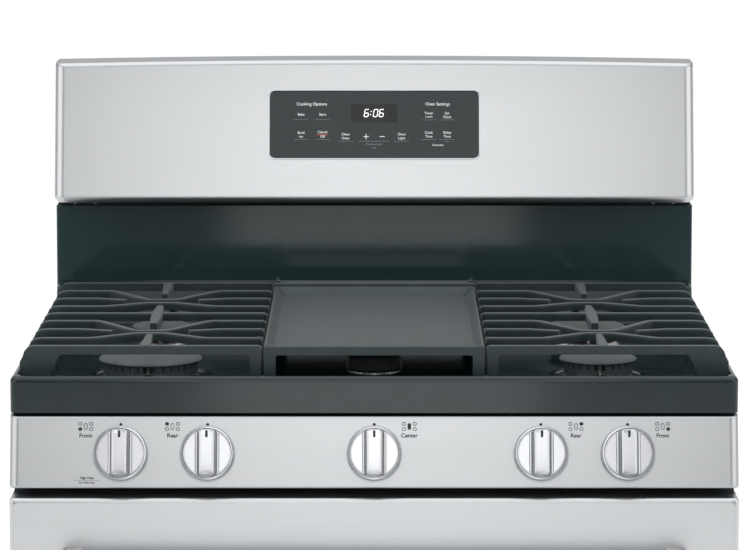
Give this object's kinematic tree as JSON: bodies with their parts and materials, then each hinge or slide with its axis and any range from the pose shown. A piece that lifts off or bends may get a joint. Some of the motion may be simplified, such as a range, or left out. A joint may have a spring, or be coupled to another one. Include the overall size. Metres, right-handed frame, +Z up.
{
  "type": "freestanding gas range",
  "caption": "Freestanding kitchen gas range with a backguard clock, continuous grates, a centre griddle, front knobs, an oven door with a window and a storage drawer.",
  "frame": {"origin": "on the floor, under the middle of the range's bounding box", "axes": "+X to the range's right as seen from the front, -Y out of the front, +Z up"},
  "size_m": [0.7588, 0.73, 1.197],
  "materials": {
    "stainless": "brushed stainless steel",
    "knob_metal": "satin-plated knob",
    "black_enamel": "glossy fired enamel on steel",
    "cast_iron": "matt enamelled cast iron",
    "griddle_coating": "coated cast griddle",
    "burner_aluminium": "cast aluminium",
    "black_glass": "black printed glass, polished",
    "side_paint": "textured powder coat",
    "galvanised_steel": "galvanised sheet steel",
    "oven_enamel": "speckled oven enamel",
    "chrome_wire": "bright plated wire",
    "gasket_weave": "woven glass-fibre rope",
    "brass": "machined brass",
    "lamp_glass": "clear lamp cover",
    "black_plastic": "moulded nylon"
  },
  "bodies": {
    "range_body": {"backguard": "stainless", "backguard_rear_cover": "galvanised_steel", "bake_burner": "galvanised_steel", "base_pan": "galvanised_steel", "broil_burner": "galvanised_steel", "burner_base_center": "burner_aluminium", "burner_base_front_left": "burner_aluminium", "burner_base_front_right": "burner_aluminium", "burner_base_rear_left": "burner_aluminium", "burner_base_rear_right": "burner_aluminium", "control_glass": "black_glass", "control_panel": "stainless", "cooktop": "black_enamel", "door_gasket": "gasket_weave", "drawer_rail_left": "galvanised_steel", "drawer_rail_right": "galvanised_steel", "front_frame": "black_enamel", "gas_manifold": "galvanised_steel", "gas_pipe": "galvanised_steel", "oven_floor": "oven_enamel", "oven_lamp": "lamp_glass", "oven_liner": "oven_enamel", "pressure_regulator": "brass", "rear_panel": "galvanised_steel", "riser": "black_enamel", "side_panel_left": "side_paint", "side_panel_right": "side_paint"},
    "door": {"door_skin": "stainless", "door_glass": "black_glass", "door_liner": "oven_enamel", "door_inner_glass": "black_glass", "door_handle": "stainless", "door_hinge_left": "galvanised_steel", "door_hinge_right": "galvanised_steel"},
    "drawer": {"drawer_front": "stainless", "drawer_pan": "galvanised_steel"},
    "upper_rack": {"oven_rack_upper": "chrome_wire"},
    "lower_rack": {"oven_rack_lower": "chrome_wire"},
    "left_grate": {"grate_left": "cast_iron"},
    "right_grate": {"grate_right": "cast_iron"},
    "griddle_plate": {"griddle": "griddle_coating"},
    "cap_front_left": {"burner_cap_front_left": "black_enamel"},
    "stem_front_left": {"valve_stem_front_left": "brass"},
    "dial_front_left": {"knob_front_left": "knob_metal"},
    "cap_rear_left": {"burner_cap_rear_left": "black_enamel"},
    "stem_rear_left": {"valve_stem_rear_left": "brass"},
    "dial_rear_left": {"knob_rear_left": "knob_metal"},
    "cap_center": {"burner_cap_center": "black_enamel"},
    "stem_center": {"valve_stem_center": "brass"},
    "dial_center": {"knob_center": "knob_metal"},
    "cap_rear_right": {"burner_cap_rear_right": "black_enamel"},
    "stem_rear_right": {"valve_stem_rear_right": "brass"},
    "dial_rear_right": {"knob_rear_right": "knob_metal"},
    "cap_front_right": {"burner_cap_front_right": "black_enamel"},
    "stem_front_right": {"valve_stem_front_right": "brass"},
    "dial_front_right": {"knob_front_right": "knob_metal"},
    "leg_front_left": {"leveling_leg_front_left": "black_plastic"},
    "leg_front_right": {"leveling_leg_front_right": "black_plastic"},
    "leg_rear_left": {"leveling_leg_rear_left": "black_plastic"},
    "leg_rear_right": {"leveling_leg_rear_right": "black_plastic"}
  },
  "joints": [
    {"name": "door_hinge", "type": "hinge", "parent": "range_body", "child": "door", "pos_m": [0, -0.298, 0.243], "axis": [1, 0, 0], "range_deg": [0, 90], "stiffness_Nm_per_rad": 15, "springref_deg": -22.92},
    {"name": "drawer_slide", "type": "slide", "parent": "range_body", "child": "drawer", "axis": [0, -1, 0], "range_m": [0, 0.35]},
    {"name": "grate_left_lift", "type": "slide", "parent": "range_body", "child": "left_grate", "axis": [0, 0, 1], "range_m": [0, 0.12]},
    {"name": "grate_right_lift", "type": "slide", "parent": "range_body", "child": "right_grate", "axis": [0, 0, 1], "range_m": [0, 0.12]},
    {"name": "griddle_lift", "type": "slide", "parent": "range_body", "child": "griddle_plate", "axis": [0, 0, 1], "range_m": [0, 0.15]},
    {"name": "knob_turn_front_left", "type": "hinge", "parent": "range_body", "child": "stem_front_left", "pos_m": [-0.2635, -0.28996, 0.83801], "axis": [0, -0.9659, 0.2588], "range_deg": [0, 225]},
    {"name": "knob_push_front_left", "type": "slide", "parent": "stem_front_left", "child": "dial_front_left", "axis": [0, 0.9659, -0.2588], "range_m": [0, 0.003], "stiffness_N_per_m": 400},
    {"name": "lift_cap_front_left", "type": "slide", "parent": "range_body", "child": "cap_front_left", "axis": [0, 0, 1], "range_m": [0, 0.012]},
    {"name": "knob_turn_rear_left", "type": "hinge", "parent": "range_body", "child": "stem_rear_left", "pos_m": [-0.1733, -0.28996, 0.83801], "axis": [0, -0.9659, 0.2588], "range_deg": [0, 225]},
    {"name": "knob_push_rear_left", "type": "slide", "parent": "stem_rear_left", "child": "dial_rear_left", "axis": [0, 0.9659, -0.2588], "range_m": [0, 0.003], "stiffness_N_per_m": 400},
    {"name": "lift_cap_rear_left", "type": "slide", "parent": "range_body", "child": "cap_rear_left", "axis": [0, 0, 1], "range_m": [0, 0.012]},
    {"name": "knob_turn_center", "type": "hinge", "parent": "range_body", "child": "stem_center", "pos_m": [0, -0.28996, 0.83801], "axis": [0, -0.9659, 0.2588], "range_deg": [0, 225]},
    {"name": "knob_push_center", "type": "slide", "parent": "stem_center", "child": "dial_center", "axis": [0, 0.9659, -0.2588], "range_m": [0, 0.003], "stiffness_N_per_m": 400},
    {"name": "lift_cap_center", "type": "slide", "parent": "range_body", "child": "cap_center", "axis": [0, 0, 1], "range_m": [0, 0.012]},
    {"name": "knob_turn_rear_right", "type": "hinge", "parent": "range_body", "child": "stem_rear_right", "pos_m": [0.1733, -0.28996, 0.83801], "axis": [0, -0.9659, 0.2588], "range_deg": [0, 225]},
    {"name": "knob_push_rear_right", "type": "slide", "parent": "stem_rear_right", "child": "dial_rear_right", "axis": [0, 0.9659, -0.2588], "range_m": [0, 0.003], "stiffness_N_per_m": 400},
    {"name": "lift_cap_rear_right", "type": "slide", "parent": "range_body", "child": "cap_rear_right", "axis": [0, 0, 1], "range_m": [0, 0.012]},
    {"name": "knob_turn_front_right", "type": "hinge", "parent": "range_body", "child": "stem_front_right", "pos_m": [0.2635, -0.28996, 0.83801], "axis": [0, -0.9659, 0.2588], "range_deg": [0, 225]},
    {"name": "knob_push_front_right", "type": "slide", "parent": "stem_front_right", "child": "dial_front_right", "axis": [0, 0.9659, -0.2588], "range_m": [0, 0.003], "stiffness_N_per_m": 400},
    {"name": "lift_cap_front_right", "type": "slide", "parent": "range_body", "child": "cap_front_right", "axis": [0, 0, 1], "range_m": [0, 0.012]},
    {"name": "leg_front_left_extend", "type": "slide", "parent": "range_body", "child": "leg_front_left", "axis": [0, 0, -1], "range_m": [0, 0.025]},
    {"name": "leg_front_right_extend", "type": "slide", "parent": "range_body", "child": "leg_front_right", "axis": [0, 0, -1], "range_m": [0, 0.025]},
    {"name": "leg_rear_left_extend", "type": "slide", "parent": "range_body", "child": "leg_rear_left", "axis": [0, 0, -1], "range_m": [0, 0.025]},
    {"name": "leg_rear_right_extend", "type": "slide", "parent": "range_body", "child": "leg_rear_right", "axis": [0, 0, -1], "range_m": [0, 0.025]},
    {"name": "rack_lower_slide", "type": "slide", "parent": "range_body", "child": "lower_rack", "axis": [0, -1, 0], "range_m": [0, 0.035]},
    {"name": "rack_upper_slide", "type": "slide", "parent": "range_body", "child": "upper_rack", "axis": [0, -1, 0], "range_m": [0, 0.035]}
  ]
}
